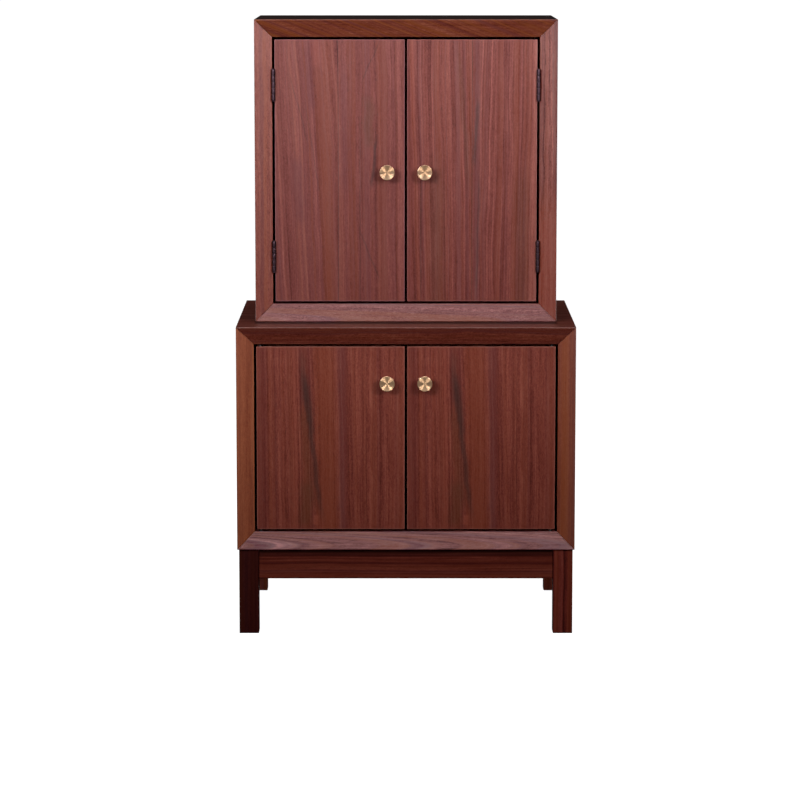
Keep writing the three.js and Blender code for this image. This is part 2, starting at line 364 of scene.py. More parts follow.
# Of each noise in the figure: its size in mm across and along the grain, its detail and its roughness.
figureNoise = {
    "slow": (48, 260, 2.0, 0.5),
    "flame": (14, 74, 2.0, 0.5),
    "streaks": (2.6, 150, 2.0, 0.55),
    "fibre": (0.8, 30, 2.0, 0.6),
    "mottle": (2.0, 7, 2.0, 0.6),
    "grit": (1.2, 2.6, 1.0, 0.6),
    "patch": (16, 90, 2.0, 0.5),
}
# Of each noise along the growth rings: lumps to the ring, where it starts, its detail and roughness.
ringNoise = {
    "bands": (1.0, 0.0, 3.0, 0.62),
    "broad": (0.23, 0.0, 1.0, 0.5),
    "purple": (0.55, 40.0, 3.0, 0.6),
    "orange": (0.45, 90.0, 3.0, 0.6),
}
figureShape = {
    "tone": {"bands": 0.85, "broad": 0.55, "streaks": 0.55, "patch": 0.30},  # shares of each noise
    "fine": {"mottle": 0.45, "grit": 0.45, "fibre": 0.60},
    "hues": (0.46, 0.62),  # ring noise between which purple and orange come in
    "seedShift": (137.1, 911.7, 53.9),  # how far one step of Seed moves the wood, in mm
    "seedRing": 31.7,  # and in rings
    "arch": 13,  # depth in mm at which Arch adds nothing
    "pore": (1.25, 11),  # size across and along the grain in mm
    "poreEdge": (0.12, 0.30),
    "poreBands": (0.35, 0.62, 1.0, 0.25),  # pores weaken from 1 to 0.25 between dark and pale bands
}


# Solid walnut. Growth bands are rings round a pith line that leans; they are bent by slow and flame
# noise along the grain, then broken up by streaks, fibres and pores. At is (across, along, depth) in
# millimetres. ring = (distance from the pith + Arch * (depth / 13 - 1) squared) / Spacing.
def makeWalnutFigure():
    shape = figureShape
    tree, build, given, out = newGroup(
        "walnutFigure", ("At", "Pith"), ("Seed", "Lean", "Spacing", "Warp", "Arch", "Flame"),
        ("Tone", "Fine", "Purple", "Orange", "Fibre", "Pore"))
    across, along, depth = build.split(given["At"])
    shift = build.join(*[build.math("MULTIPLY", given["Seed"], step) for step in shape["seedShift"]])
    place = build.vector("ADD", given["At"], shift)

    slow = build.grain(place, *figureNoise["slow"])
    flame = build.grain(place, *figureNoise["flame"])
    bend = build.math("MULTIPLY_ADD", slow, given["Warp"], build.math("MULTIPLY", flame, given["Flame"]))
    lean = build.math("MULTIPLY", along, given["Lean"])
    u = build.math("SUBTRACT", build.math("ADD", across, bend), lean)
    pithU, pithV, pithW = build.split(given["Pith"])
    du = build.math("SUBTRACT", u, pithU)
    dw = build.math("ADD", build.math("SUBTRACT", depth, pithW), build.math("MULTIPLY", along, pithV))
    radius = build.math("SQRT", build.math("ADD", build.math("MULTIPLY", du, du),
                                           build.math("MULTIPLY", dw, dw)))
    inward = build.math("MULTIPLY_ADD", depth, 1 / shape["arch"], -1.0)
    radius = build.math("MULTIPLY_ADD", build.math("MULTIPLY", inward, inward), given["Arch"], radius)
    ring = build.math("ADD", build.math("DIVIDE", radius, given["Spacing"]),
                      build.math("MULTIPLY", given["Seed"], shape["seedRing"]))

    straight = build.vector("ADD", build.join(u, along, depth), shift)
    layers = {name: build.grain(straight, *figureNoise[name])
              for name in ("streaks", "fibre", "mottle", "grit", "patch")}
    for name, (scale, start, detail, roughness) in ringNoise.items():
        layers[name] = build.noiseAlong(build.math("MULTIPLY_ADD", ring, scale, start), detail, roughness)
    for label, shares in (("Tone", shape["tone"]), ("Fine", shape["fine"])):
        value = 0.5
        for name, share in shares.items():
            value = build.sway(layers[name], share, value)
        build.feed(out[label], value)
    build.feed(out["Purple"], build.spread(layers["purple"], *shape["hues"]))
    build.feed(out["Orange"], build.spread(layers["orange"], *shape["hues"]))
    build.feed(out["Fibre"], layers["fibre"])

    cells = build.add("ShaderNodeTexVoronoi")
    build.feed(cells.inputs["Vector"], build.stretch(straight, *shape["pore"]))
    cells.inputs["Scale"].default_value = 1.0
    pore = build.spread(cells.outputs["Distance"], *shape["poreEdge"], 1.0, 0.0)
    build.feed(out["Pore"], build.math("MULTIPLY", pore,
                                       build.spread(layers["bands"], *shape["poreBands"])))
    return tree


streakShape = {
    "wave": 42,  # mm along the grain between two turns of a wandering streak
    "ragged": (1 / 1.3, 1 / 16, 1 / 9),  # lumps of the ragged edge to the mm, across, along and deep
    "raggedShare": 1.1,
    "sides": (0.15, 1.25),  # half widths between which a streak fades out
    "ends": (0.55, 1.0),  # shares of Reach between which it fades out
}


# One named streak: a soft line across = Place + Slope * (along - Middle), Width wide, from Middle
# minus Reach to Middle plus Reach, with a wandering edge. Puts out a mask.
def makeStreak():
    shape = streakShape
    tree, build, given, out = newGroup(
        "walnutStreak", ("At",), ("Place", "Slope", "Middle", "Reach", "Width", "Wander"), ("Mask",))
    across, along, depth = build.split(given["At"])
    wave = build.math("MULTIPLY_ADD", along, 1 / shape["wave"], given["Place"])
    ragged = build.noise(build.vector("MULTIPLY", given["At"], shape["ragged"]), 1.0)
    offset = build.math("SUBTRACT", along, given["Middle"])
    centre = build.math("MULTIPLY_ADD", offset, given["Slope"], given["Place"])
    centre = build.sway(build.noiseAlong(wave, 2.0, 0.55), given["Wander"], centre)
    distance = build.math("ABSOLUTE", build.math("SUBTRACT", across, centre))
    distance = build.math("DIVIDE", distance, given["Width"])
    distance = build.sway(ragged, shape["raggedShare"], distance)
    sideways = build.spread(distance, *shape["sides"], 1.0, 0.0)
    share = build.math("DIVIDE", build.math("ABSOLUTE", offset), given["Reach"])
    build.feed(out["Mask"], build.math("MULTIPLY", sideways, build.spread(share, *shape["ends"], 1.0, 0.0)))
    return tree


walnutFigure = makeWalnutFigure()
walnutStreak = makeStreak()

walnutTones = [
    (0.00, (0.040, 0.0062, 0.0052)),
    (0.28, (0.080, 0.0114, 0.0080)),
    (0.50, (0.114, 0.0190, 0.0130)),
    (0.72, (0.148, 0.0300, 0.0208)),
    (1.00, (0.205, 0.0530, 0.0390)),
]
woodColours = {
    "purple": (0.084, 0.0134, 0.0146, 1),
    "orange": (0.136, 0.0268, 0.0098, 1),
    "olive": (0.074, 0.0190, 0.0075, 1),
    "dark": (0.026, 0.0065, 0.0062, 1),
    # grey is the colour of the highlight painted along the doors' arrises.
    "grey": (0.190, 0.0750, 0.0800, 1),
    "pale": (0.185, 0.0440, 0.0330, 1),
}

# What all walnut finishes share. Lengths are in mm, as the grain's coordinates are.
walnutLook = {
    "purple": 0.60,  # how much of each mask is mixed in, before hue
    "orange": 0.50,
    "pore": 0.55,
    "joint": (0.25, 0.7),  # the dark line of a veneer joint fades out between these distances
    "paintedArrisSheen": (0.6, 1.9, 0.6),  # the painted highlight along the arrises fades out between two distances, and how much it is
    "skin": (0.2, 1.2),  # depths between which outerTint gives way to tint
    "polish": (0.25, 1.75),  # how much coat the darkest and the palest wood take
    "glance": (0.40, 0.90, 0.95),  # Fresnel values between which the wood's colour is darkened as painted shade, and how much
    "mirror": 0.25,  # specular level and coat weight for each part of shine
    "gloss": 1.42,
    "fibreRough": 0.10,  # how much the fibres change the roughness
    "poreDepth": -0.6,
    "bump": (0.35, 0.00006),  # strength, and height in metres
    "ior": 1.5,
}


# Seed, lean and pith as they change across a board that has veneer leaves: each leaf's values take over
# from the ones before it where across is past its joint.
def leafValues(build, across, seed, lean, pith, leaves):
    seedValue, leanValue, pithValue = seed, lean, pith
    for joint, leafSeed, leafLean, *leafPith in leaves:
        beyond = build.math("GREATER_THAN", across, joint)
        seedValue = build.math("MULTIPLY_ADD", beyond, leafSeed - seed, seedValue)
        leanValue = build.math("MULTIPLY_ADD", beyond, leafLean - lean, leanValue)
        seed, lean = leafSeed, leafLean
        if leafPith:
            pithValue = build.mixVectors(beyond, pithValue, leafPith[0])
    return {"Seed": seedValue, "Lean": leanValue, "Pith": pithValue}


# Mask of a painted shadow where another part stands close: it grows from start to end across the board
# and ends over 4 mm at halfLength to each side and over 8 mm at back.
def paintedContactShadow(build, across, along, paintedShadow):
    shade = build.spread(across, paintedShadow["start"], paintedShadow["end"], 0.0, paintedShadow["amount"])
    if "halfLength" in paintedShadow:
        half, back = paintedShadow["halfLength"], paintedShadow["back"]
        side = build.spread(build.math("ABSOLUTE", along), half - 2, half + 2, 1.0, 0.0)
        shade = build.math("MULTIPLY", build.math("MULTIPLY", shade, side),
                           build.spread(across, back - 4, back + 4, 1.0, 0.0))
    return shade


# How near a point of a slab is to its nearest edge, for a slab of size (width, length).
def edgeDistance(build, across, along, size):
    side = build.math("MINIMUM", across, build.math("SUBTRACT", size[0], across))
    end = build.math("MINIMUM", along, build.math("SUBTRACT", size[1], along))
    return build.math("MINIMUM", side, end)


# A walnut finish. tint multiplies the colour, and outerTint takes its place on the outer face. hue is
# how much purple and orange there is. leaves lists veneer joints as (across, seed, lean), with a pith
# of its own where there is a fourth item, for the wood beyond each; seam is how dark the joints are.
# streaks lists (colour, place, middle, reach, width, slope, wander, amount). edge is the size of a slab
# along whose arrises a pale line is painted as a highlight. paintedShadow is a shadow painted in dark
# wood where another part stands close, with the coat taken away there.
def walnut(name, seed, tint=(1, 1, 1), pith=(140, 0, -90), lean=0.0, spacing=5.0, warp=14.0,
           arch=0.0, flame=1.6, contrast=0.9, fine=0.8, leaves=(), streaks=(), roughness=0.42,
           shine=0.32, coat=0.12, hue=1.0, seam=0.75, edge=None, paintedShadow=None, outerTint=None):
    look = walnutLook
    material, build = newMaterial(name)
    at = build.add("ShaderNodeAttribute", attribute_name="grainAt").outputs["Vector"]
    across, along, depth = build.split(at)
    figure = build.group(walnutFigure, {
        "At": at, "Spacing": spacing, "Warp": warp, "Arch": arch, "Flame": flame,
        **leafValues(build, across, seed, lean, pith, leaves),
    })
    tone = build.sway(figure["Tone"], contrast, 0.5)
    tone = build.sway(figure["Fine"], fine, tone)
    colour = build.ramp(tone, walnutTones)
    for kind, mask in (("purple", figure["Purple"]), ("orange", figure["Orange"])):
        strength = build.math("MULTIPLY", mask, look[kind] * hue)
        colour = build.mix(strength, colour, woodColours[kind])
    for kind, place, middle, reach, width, slope, wander, amount in streaks:
        streak = build.group(walnutStreak, {
            "At": at, "Place": place, "Slope": slope, "Middle": middle, "Reach": reach,
            "Width": width, "Wander": wander,
        })
        strength = build.math("MULTIPLY", streak["Mask"], amount)
        colour = build.mix(strength, colour, woodColours[kind])
    for joint, *_ in leaves:
        distance = build.math("ABSOLUTE", build.math("SUBTRACT", across, joint))
        colour = build.mix(build.spread(distance, *look["joint"], seam, 0.0), colour, woodColours["dark"])
    colour = build.mix(build.math("MULTIPLY", figure["Pore"], look["pore"]), colour, woodColours["dark"])
    # A pale line painted along the arrises as a highlight.
    if edge:
        paintedArrisSheen = build.spread(edgeDistance(build, across, along, edge), *look["paintedArrisSheen"], 0.0)
        colour = build.mix(paintedArrisSheen, colour, woodColours["grey"])
    polish = build.spread(tone, 0.0, 1.0, *look["polish"], smooth=False)
    # Painted shadow: dark wood is mixed in and the coat is taken away where another part stands close.
    if paintedShadow:
        shade = paintedContactShadow(build, across, along, paintedShadow)
        colour = build.mix(shade, colour, woodColours["dark"])
        polish = build.math("MULTIPLY", polish, build.math("SUBTRACT", 1.0, shade))
    tintColour = (*tint, 1)
    if outerTint:
        tintColour = build.mix(build.spread(depth, *look["skin"]), (*outerTint, 1), tintColour)
    colour = build.mix(1.0, colour, tintColour, "MULTIPLY")
    # Painted shade: the colour is darkened towards black where a face is seen at a glancing angle.
    glance = build.add("ShaderNodeFresnel")
    glance.inputs["IOR"].default_value = look["ior"]
    dimFrom, dimTo, dimmed = look["glance"]
    colour = build.mix(build.spread(glance.outputs[0], dimFrom, dimTo, 0.0, dimmed), colour, (0, 0, 0, 1))

    shader = build.add("ShaderNodeBsdfPrincipled")
    build.feed(shader.inputs["Base Color"], colour)
    smoothest = roughness - look["fibreRough"] / 2
    build.feed(shader.inputs["Roughness"],
               build.math("MULTIPLY_ADD", figure["Fibre"], look["fibreRough"], smoothest))
    shader.inputs["Specular IOR Level"].default_value = look["mirror"] * shine
    build.feed(shader.inputs["Coat Weight"], build.math("MULTIPLY", polish, coat + look["gloss"] * shine))
    shader.inputs["Coat Roughness"].default_value = roughness
    shader.inputs["Coat IOR"].default_value = look["ior"]
    relief = build.math("MULTIPLY_ADD", figure["Pore"], look["poreDepth"], figure["Fibre"])
    build.feed(shader.inputs["Normal"], build.bump(relief, *look["bump"]))
    build.finish(shader)
    return material


print("stage: walnut groups built")

# Carcass boards

boardShape = {
    "thickness": 26 * mm,
    "splay": 9.5 * mm,  # how far the bevelled front edge runs back over the thickness
    "arris": 1.2 * mm,  # radius of the front arris; the others are radii too
    "innerArris": 0.8 * mm,
    "backArris": 0.8 * mm,
    "smallArris": 0.3 * mm,
    "rebate": 7.8 * mm,  # depth of the rebate that takes the back panel
    "lap": 9 * mm,  # how far the rebate is cut into the thickness
}


# Section of a carcass board in (back from the front plane, in from the outer face). The front arris is
# placed so that the arc's foremost point lies in the front plane.
def boardOutline(depth):
    shape = boardShape
    r, thickness, small = shape["arris"], shape["thickness"], shape["smallArris"]
    run, rise = shape["splay"] - r, thickness - r
    tilt = math.atan2(run, rise) + math.asin(r / math.hypot(run, rise))
    corner = r - (math.sin(tilt) * r + r) / math.cos(tilt)
    lapIn, rebateFront = thickness - shape["lap"], depth - shape["rebate"]
    return roundedOutline([
        (corner, 0, r),
        (depth, 0, shape["backArris"]),
        (depth, lapIn, small),
        (rebateFront, lapIn, small),
        (rebateFront, thickness, small),
        (shape["splay"], thickness, shape["innerArris"]),
    ])


# The board's outline carried along run ("x" or "z") from end to end. Each end is cut at 45 degrees: a
# point is shortened by its distance in from the outer face. outerSide, -1 or 1, is the side of the
# carcass that the outer face is on.
def mitredBoard(node, run, outerSide):
    low, high = (np.array(corner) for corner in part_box(node))
    across, lengthAxis = (2, 0) if run == "x" else (0, 2)
    outline, facing = boardOutline(high[1] - low[1])
    count = len(outline)
    back, inward = outline.T
    middle = (low[lengthAxis] + high[lengthAxis]) / 2
    half = (high[lengthAxis] - low[lengthAxis]) / 2
    ends = np.array([[-1.0], [1.0]])
    points = np.zeros((2, count, 3))
    points[..., 1] = low[1] + back
    points[..., across] = (high if outerSide > 0 else low)[across] - outerSide * inward
    points[..., lengthAxis] = middle + ends * (half - inward)
    grain = np.zeros((2, count, 3))
    grain[..., 0] = back / mm
    grain[..., 1] = (points[..., lengthAxis] - middle) / mm
    grain[..., 2] = inward / mm
    corners, counts = cappedStack(2, count)
    normals = np.zeros((len(corners), 3))
    sides = slice(0, -2 * count)
    normals[sides, 1] = facing[corners[sides] % count, 0]
    normals[sides, across] = -outerSide * facing[corners[sides] % count, 1]
    normals[-2 * count:, lengthAxis] = np.repeat(ends, count) * math.sqrt(0.5)
    normals[-2 * count:, across] = -outerSide * math.sqrt(0.5)
    return shell(points.reshape(-1, 3), corners, counts, normals, grain.reshape(-1, 3))


# Each board's tint was matched to the colour of its front as lit, so besides the wood's own tone it paints
# part of the light on it: the bluer tints of the bottom boards paint the pale sheen they catch from above,
# and the darker tints of the tops paint shade.
boards = {
    "case_top": ("x", 1, "walnut_top", dict(
        seed=3.1, hue=1.5, tint=(0.73, 0.89, 0.63), pith=(20, -0.38, -60), spacing=2.7, warp=22,
        contrast=1.25, fine=1.2, shine=0.16, coat=0.05, seam=0.35,
        leaves=[(10.0, 4.6, 0.0, (150, 0, -120))])),
    "case_bottom": ("x", -1, "walnut_frame", dict(
        seed=8.4, hue=1.5, tint=(0.97, 1.19, 1.66), pith=(60, 0.03, -110), spacing=4.0, warp=10,
        arch=6, contrast=0.8, fine=1.8, shine=0.42)),
    "case_left_side": ("z", -1, "walnut_frame", dict(
        seed=5.2, tint=(1.08, 1.08, 0.90), outerTint=(0.88, 0.80, 0.72), pith=(90, 0, -120),
        spacing=5.5, warp=12, flame=10, contrast=0.7, fine=1.2)),
    "case_right_side": ("z", 1, "walnut_frame", dict(
        seed=6.7, hue=1.5, tint=(0.83, 0.55, 0.38), outerTint=(0.84, 0.74, 0.66), pith=(80, 0, -90),
        spacing=5.0, warp=34, flame=18, contrast=1.4, fine=1.3,
        streaks=[("orange", 4.75, -160, 160, 14, 0, 0, 0.75), ("pale", 4.75, -175, 140, 14, 0, 0, 0.35)])),
    "stand_top": ("x", 1, "walnut_top", dict(
        seed=12.3, hue=1.4, tint=(0.64, 0.54, 0.37), pith=(130, 0, -70), spacing=2.0, warp=4,
        contrast=1.3, fine=2.0,
        # A shadow painted on the stand's top in front of and under the case.
        paintedShadow=dict(start=30, end=50, amount=0.98, halfLength=224, back=308))),
    "stand_bottom": ("x", -1, "walnut_frame", dict(
        seed=9.9, hue=1.5, tint=(1.27, 1.28, 1.74), pith=(30, 0.12, -70), spacing=5.0, warp=34,
        arch=12, flame=8, contrast=1.8, fine=0.9, shine=0.60)),
    "stand_left_side": ("z", -1, "walnut_frame", dict(
        seed=14.6, hue=1.5, tint=(1.77, 2.40, 1.12), outerTint=(0.98, 0.88, 0.62), pith=(120, 0, -80),
        spacing=4.0, warp=8, contrast=0.7, fine=0.65)),
    "stand_right_side": ("z", 1, "walnut_frame", dict(
        seed=15.8, hue=1.4, tint=(1.18, 1.14, 0.43), outerTint=(0.98, 0.85, 0.60), pith=(110, 0, -100),
        spacing=4.5, warp=8)),
}
for node, (run, outerSide, slotName, finish) in boards.items():
    addPiece(node + "_board", [mitredBoard(node, run, outerSide)], "carcass", [node],
             walnut(node + "_walnut", **finish))
print("stage: carcass boards built")

# Doors, panels, legs and aprons

doorArris = 0.8 * mm
# Each door's tint was matched to its colour as lit, so it paints part of the light on it as well as the
# wood's tone; the stand's doors' tints make up for the fall-off of the lamps' light lower down.
doors = {
    "case_left_door": dict(
        seed=21.3, lean=-0.05, pith=(260, 0, -60), spacing=6.0, warp=14, flame=3.5, contrast=0.9, fine=0.8,
        tint=(0.86, 0.77, 0.83),
        leaves=[(93.8, 24.7, -0.01)],
        streaks=[
            ("orange", 79, 190, 300, 10, -0.02, 4, 0.55),
            ("purple", 53, 340, 70, 8, -0.02, 4, 0.60),
            ("purple", 34, 165, 60, 11, -0.08, 6, 0.55),
            ("dark", 36, 285, 60, 1.1, -0.26, 4, 0.40),
            ("dark", 56, 225, 80, 1.2, -0.16, 4, 0.35),
            ("purple", 103, 260, 120, 8, 0.0, 4, 0.45),
            ("pale", 62, 372, 30, 10, -0.10, 10, 0.35),
            ("dark", 126, 120, 190, 0.8, 0.0, 2, 0.55),
            ("olive", 139, 266, 46, 10, 0.0, 10, 0.55),
            ("dark", 147, 206, 44, 3.0, 0.12, 6, 0.60),
            ("dark", 142, 356, 36, 1.2, 0.45, 8, 0.45),
            ("dark", 140, 70, 46, 1.6, -0.40, 6, 0.40),
        ]),
    "case_right_door": dict(
        seed=31.9, lean=-0.02, pith=(300, 0, -60), spacing=5.5, warp=12, flame=2.4, contrast=1.3, fine=0.95,
        tint=(0.86, 0.68, 0.61),
        leaves=[(96.2, 35.3, 0.01)],
        streaks=[
            ("pale", 7, 200, 260, 5, 0.0, 3, 0.25),
            ("dark", 20.5, 90, 110, 0.9, 0.0, 1.5, 0.65),
            ("orange", 30, 80, 120, 5, 0.0, 5, 0.40),
            ("olive", 84, 270, 130, 5, -0.08, 6, 0.45),
            ("purple", 103, 200, 300, 5.5, 0.0, 2, 0.85),
            ("dark", 102, 250, 60, 3.5, 0.06, 4, 0.55),
            ("dark", 105, 100, 110, 2.0, 0.02, 4, 0.45),
            ("orange", 180, 200, 260, 8, 0.0, 6, 0.35),
            ("olive", 44, 90, 150, 15, 0.0, 8, 0.40),
            ("olive", 170, 70, 150, 14, 0.0, 6, 0.40),
        ]),
    "stand_left_door": dict(
        seed=41.2, lean=-0.02, pith=(260, 0, -60), spacing=6.0, warp=10, tint=(1.07, 0.89, 0.61),
        contrast=1.3, fine=1.15, hue=0.7, seam=0.15,
        leaves=[(66.2, 44.6, -0.02), (161.4, 41.2, 0.0)],
        streaks=[
            ("orange", 101, 140, 260, 15, -0.02, 6, 0.60),
            ("purple", 127.5, 140, 260, 8, 0.0, 5, 0.75),
            ("purple", 10, 140, 260, 10, 0.0, 5, 0.45),
            ("pale", 38, 140, 220, 4, 0.0, 3, 0.25),
            ("pale", 57, 140, 220, 6, 0.0, 3, 0.30),
            ("purple", 70, 235, 70, 13, -0.03, 5, 0.38),
            ("dark", 70, 225, 50, 7, -0.05, 5, 0.28),
            ("dark", 76, 185, 52, 8, -0.12, 5, 0.50),
            ("olive", 76, 110, 90, 11, -0.10, 6, 0.45),
            ("dark", 82, 130, 130, 5, -0.120, 4, 0.60),
            ("olive", 73, 38, 42, 13, 0.0, 8, 0.65),
            ("pale", 87, 14, 9, 5, 0.0, 2, 0.60),
        ]),
}
doors["stand_right_door"] = dict(doors["stand_left_door"], tint=(1.02, 0.79, 0.52))

for node, finish in doors.items():
    low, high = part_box(node)
    size = ((high[0] - low[0]) / mm, (high[2] - low[2]) / mm)
    addPiece(node + "_slab", [roundedBox(low, high, doorArris, 2, origin=(low[0], low[1], low[2]))],
             node, [node], walnut(node + "_walnut", edge=size, **finish))

# The legs' and aprons' tints were matched to their colours as lit too, so they paint part of the light on
# them, most of all the pale tints of the back legs; the front left leg's dark tint is darker wood.
darkApron = dict(tint=(0.60, 0.42, 0.31), spacing=3.0, warp=8, contrast=2.0, shine=0.10, coat=0.03)
solidLeg = dict(spacing=4.0, contrast=1.8, shine=0.10, coat=0.03)
plainBack = dict(tint=(0.80, 0.80, 0.80), roughness=0.6)
rails = {
    "front_apron": ("x", "walnut_leg", dict(
        # A shadow painted along the apron's top, under the stand's overhang, and a highlight painted along
        # its bottom arris by the pale and orange streaks 3.6 mm up.
        darkApron, seed=51.0, tint=(0.66, 0.49, 0.37), paintedShadow=dict(start=30, end=42, amount=0.97),
        streaks=[("pale", 3.6, 220, 500, 1.9, 0, 0.3, 1.0), ("orange", 3.6, 220, 500, 1.7, 0, 0.3, 0.45)])),
    "back_apron": ("x", "walnut_leg", dict(darkApron, seed=52.0)),
    "left_apron": ("y", "walnut_leg", dict(darkApron, seed=53.0)),
    "right_apron": ("y", "walnut_leg", dict(darkApron, seed=54.0)),
    "front_left_leg": ("z", "walnut_leg", dict(
        seed=55.0, tint=(0.27, 0.20, 0.23), spacing=4.0, shine=0.06, coat=0.0)),
    "front_right_leg": ("z", "walnut_leg", dict(solidLeg, seed=56.0, tint=(0.88, 0.69, 0.63))),
    "back_left_leg": ("z", "walnut_leg", dict(solidLeg, seed=57.0, tint=(1.22, 1.55, 1.30))),
    "back_right_leg": ("z", "walnut_leg", dict(solidLeg, seed=58.0, tint=(0.90, 0.75, 0.55))),
    "case_back": ("z", "walnut_back", dict(plainBack, seed=61.0)),
    "stand_back": ("z", "walnut_back", dict(plainBack, seed=62.0)),
}
railArris = {"walnut_leg": 1.0 * mm, "walnut_back": 0.6 * mm}
for node, (run, slotName, finish) in rails.items():
    low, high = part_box(node)
    wood = roundedBox(low, high, railArris[slotName], "xyz".index(run), origin=low)
    addPiece(node + "_wood", [wood], "carcass", [node], walnut(node + "_walnut", **finish))
print("stage: doors, panels, legs and aprons built")

# Knobs and hinges


lathed = dict(turned=0.95, groove=0.12, metallic=0.85, ior=1.8, shine=1.0, lacquer=1.0)
metalLook = {
    "lacquerRough": 0.24,
    "lacquerIor": 1.7,
    "wear": (900, 900, 900),  # lumps to the metre
    "wearShare": 0.12,  # how much wear changes the roughness
    "turn": 0.25,  # the highlights' stretch, as a share of a whole turn from the tangent
    "marks": 9.0,  # lathe marks to the mm
    "markHeight": 0.00003,  # metres
}


# A metal finish. turned stretches highlights along the lathe's marks, groove is how deep they are, and
# lacquer is the clear coat's weight.
def metal(name, colour, roughness, turned=0.0, groove=0.0, metallic=1.0, ior=1.5, shine=0.5,
          lacquer=0.0):
    look = metalLook
    material, build = newMaterial(name)
    shader = build.add("ShaderNodeBsdfPrincipled")
    constants = {
        "Base Color": (*colour, 1), "Metallic": metallic, "IOR": ior, "Specular IOR Level": shine,
        "Coat Weight": lacquer, "Coat Roughness": look["lacquerRough"], "Coat IOR": look["lacquerIor"],
    }
    for label, value in constants.items():
        shader.inputs[label].default_value = value
    position = build.add("ShaderNodeTexCoord").outputs["Object"]
    wear = build.noise(build.vector("MULTIPLY", position, look["wear"]))
    smoothest = roughness - look["wearShare"] / 2
    build.feed(shader.inputs["Roughness"], build.math("MULTIPLY_ADD", wear, look["wearShare"], smoothest))
    if turned:
        shader.inputs["Anisotropic"].default_value = turned
        shader.inputs["Anisotropic Rotation"].default_value = look["turn"]
        tangent = build.add("ShaderNodeTangent", direction_type="UV_MAP", uv_map="turned")
        build.feed(shader.inputs["Tangent"], tangent.outputs[0])
        along = build.split(build.add("ShaderNodeUVMap", uv_map="turned").outputs[0])[1]
        marks = build.noiseAlong(build.math("MULTIPLY", along, look["marks"]), 1.0)
        build.feed(shader.inputs["Normal"], build.bump(marks, groove, look["markHeight"]))
    build.finish(shader)
    return material


# The stand's knobs take a paler copy of the same brass, which paints in light that falls short on them
# lower down.
brass = {
    "case": metal("turned_brass", (0.47, 0.27, 0.14), 0.50, **lathed),
    "stand": metal("turned_brass_painted_brighter", (0.72, 0.44, 0.24), 0.50, **lathed),
}
bronze = metal("dark_bronze", (0.041, 0.024, 0.031), 0.45)
steel = metal("pivot_steel", (0.040, 0.040, 0.042), 0.50)

knobShape = {
    "radius": 11 * mm,
    "rim": 5 * mm,
    "rimRound": 0.5 * mm,
    "stem": 4.4 * mm,
    "foot": 6.2 * mm,
    "footHeight": 1.8 * mm,
    "footUnder": 0.3 * mm,  # radius of the foot's edge against the door
    "footOver": 0.5 * mm,
    "cove": 1.0 * mm,
    "flare": 5.2 * mm,  # how far the flare under the rim reaches back
    "dish": 1.0 * mm,
    "facets": 72,
}


# Points of a circle's arc from one angle to another, in degrees.
def arc(centre, radius, start, end, steps=6):
    angles = np.radians(np.linspace(start, end, steps + 1))
    return np.array(centre) + radius * np.stack([np.cos(angles), np.sin(angles)], axis=1)


# (radius, height) of a knob from the middle of its foot to the middle of its dished face: arcs at the
# foot and rim, a cove, a flare whose radius grows as (1 - cos t) ** 1.2 while its height goes as sin t,
# and a dish whose depth is 1 - (share of the radius) squared.
def knobProfile(length):
    shape = knobShape
    under, over, cove, rimRound = shape["footUnder"], shape["footOver"], shape["cove"], shape["rimRound"]
    foot, stem, inner = shape["foot"], shape["stem"], shape["radius"] - rimRound
    rimBack = length - shape["rim"]
    t = np.linspace(0, math.pi / 2, 12)
    flare = np.stack([stem + (inner - stem) * (1 - np.cos(t)) ** 1.2,
                      rimBack - shape["flare"] * (1 - np.sin(t))], axis=1)
    share = np.linspace(1, 0, 16)[1:]
    dish = np.stack([inner * share, length - shape["dish"] * (1 - share ** 2)], axis=1)
    return np.vstack([
        [(0, 0), (foot - under, 0)],
        arc((foot - under, under), under, -90, 0, 3),
        arc((foot - over, shape["footHeight"] - over), over, 0, 90, 4),
        arc((stem + cove, shape["footHeight"] + cove), cove, -90, -180, 5),
        flare,
        arc((inner, rimBack + rimRound), rimRound, -90, 0, 5)[1:],
        arc((inner, length - rimRound), rimRound, 0, 90, 6),
        dish,
    ])


for place in ("case_left", "case_right", "stand_left", "stand_right"):
    node = place + "_knob"
    low, high = (np.array(corner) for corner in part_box(node))
    foot = np.array([(low[0] + high[0]) / 2, high[1], (low[2] + high[2]) / 2])
    turned = lathe(knobProfile(high[1] - low[1]), foot, (0, -1, 0), knobShape["facets"])
    addPiece(node + "_turned", [turned], place + "_door", [node],
             brass[place.split("_")[0]])

hingeShape = {
    "length": 46 * mm,
    "knuckles": 5,
    "gap": 0.4 * mm,
    "barrel": 3.0 * mm,
    "bore": 1.35 * mm,
    "ease": 0.35 * mm,
    "facets": 48,
    "leaf": 1.2 * mm,
    "leafArris": 0.3 * mm,
    "width": 15 * mm,
    "clearance": 0.15 * mm,  # from the leaf's face to the plane through the pin
    "plateGap": 0.25 * mm,  # from the barrel to the leaf's near edge
    "tongueIn": 1.5 * mm,  # from the pin's axis to the start of the tongue between barrel and leaf
    "tongueLap": 1 * mm,
    "tongueArris": 0.2 * mm,
}
screwShape = {
    "radius": 2.3 * mm,
    "proud": 0.09 * mm,
    "sunk": 0.5 * mm,
    "bevel": 0.25 * mm,
    "slot": 0.09,  # half of the slot, as an angle at the rim
    "places": [(-15 * mm, 9.5 * mm), (0, 6.0 * mm), (15 * mm, 9.5 * mm)],  # (up, back from the near edge)
}


